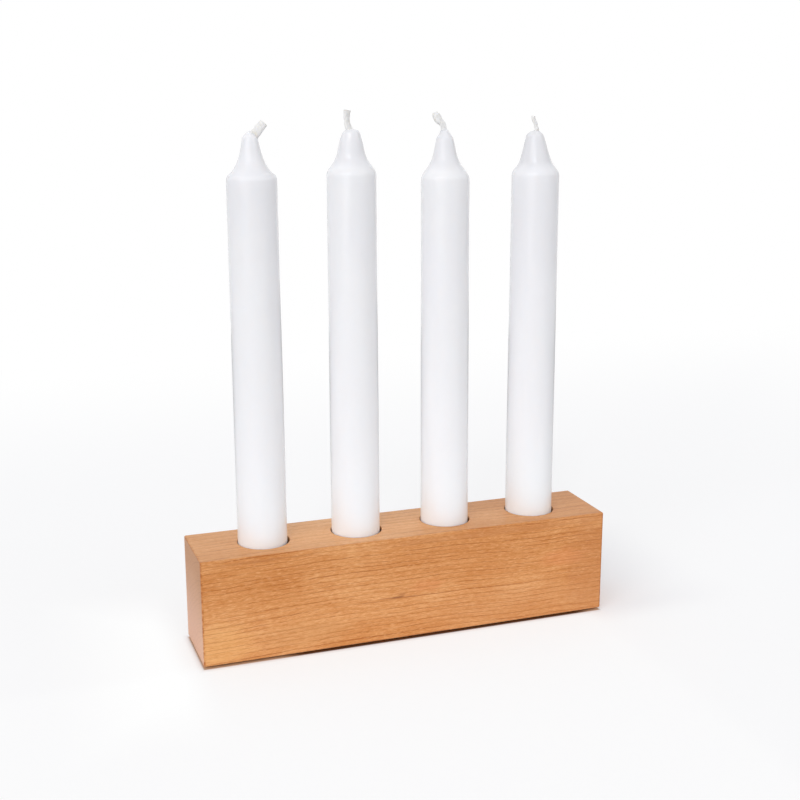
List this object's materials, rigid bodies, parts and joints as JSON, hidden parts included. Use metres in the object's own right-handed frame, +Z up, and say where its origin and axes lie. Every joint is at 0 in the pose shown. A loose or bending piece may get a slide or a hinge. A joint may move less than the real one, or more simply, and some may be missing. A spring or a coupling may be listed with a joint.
{
  "type": "advent candle holder",
  "caption": "Long solid oak block on thin felt pads, with round sockets bored in a row along its top and a white stick candle standing in each.",
  "frame": {"origin": "on the table, under the middle of the block", "axes": "+X along the block to the right as its front shows it, +Y to the back, +Z up along the candles"},
  "size_m": [0.2, 0.038, 0.2453],
  "materials": {
    "oak": "oiled, fine straight grain along the block",
    "felt": "pressed dark brown felt",
    "wax": "smooth white candle wax, slightly translucent, soft satin",
    "wick": "waxed flat cotton braid"
  },
  "bodies": {
    "holder": {"oak_block": "oak", "felt_pad_front_left": "felt", "felt_pad_front_right": "felt", "felt_pad_back_left": "felt", "felt_pad_back_right": "felt"},
    "candle_1": {"candle_1_wax": "wax", "candle_1_wick": "wick"},
    "candle_2": {"candle_2_wax": "wax", "candle_2_wick": "wick"},
    "candle_3": {"candle_3_wax": "wax", "candle_3_wick": "wick"},
    "candle_4": {"candle_4_wax": "wax", "candle_4_wick": "wick"}
  },
  "joints": [
    {"name": "candle_1_lift", "type": "slide", "parent": "holder", "child": "candle_1", "axis": [0, 0, 1], "range_m": [0, 0.04]},
    {"name": "candle_2_lift", "type": "slide", "parent": "holder", "child": "candle_2", "axis": [0, 0, 1], "range_m": [0, 0.04]},
    {"name": "candle_3_lift", "type": "slide", "parent": "holder", "child": "candle_3", "axis": [0, 0, 1], "range_m": [0, 0.04]},
    {"name": "candle_4_lift", "type": "slide", "parent": "holder", "child": "candle_4", "axis": [0, 0, 1], "range_m": [0, 0.04]}
  ]
}
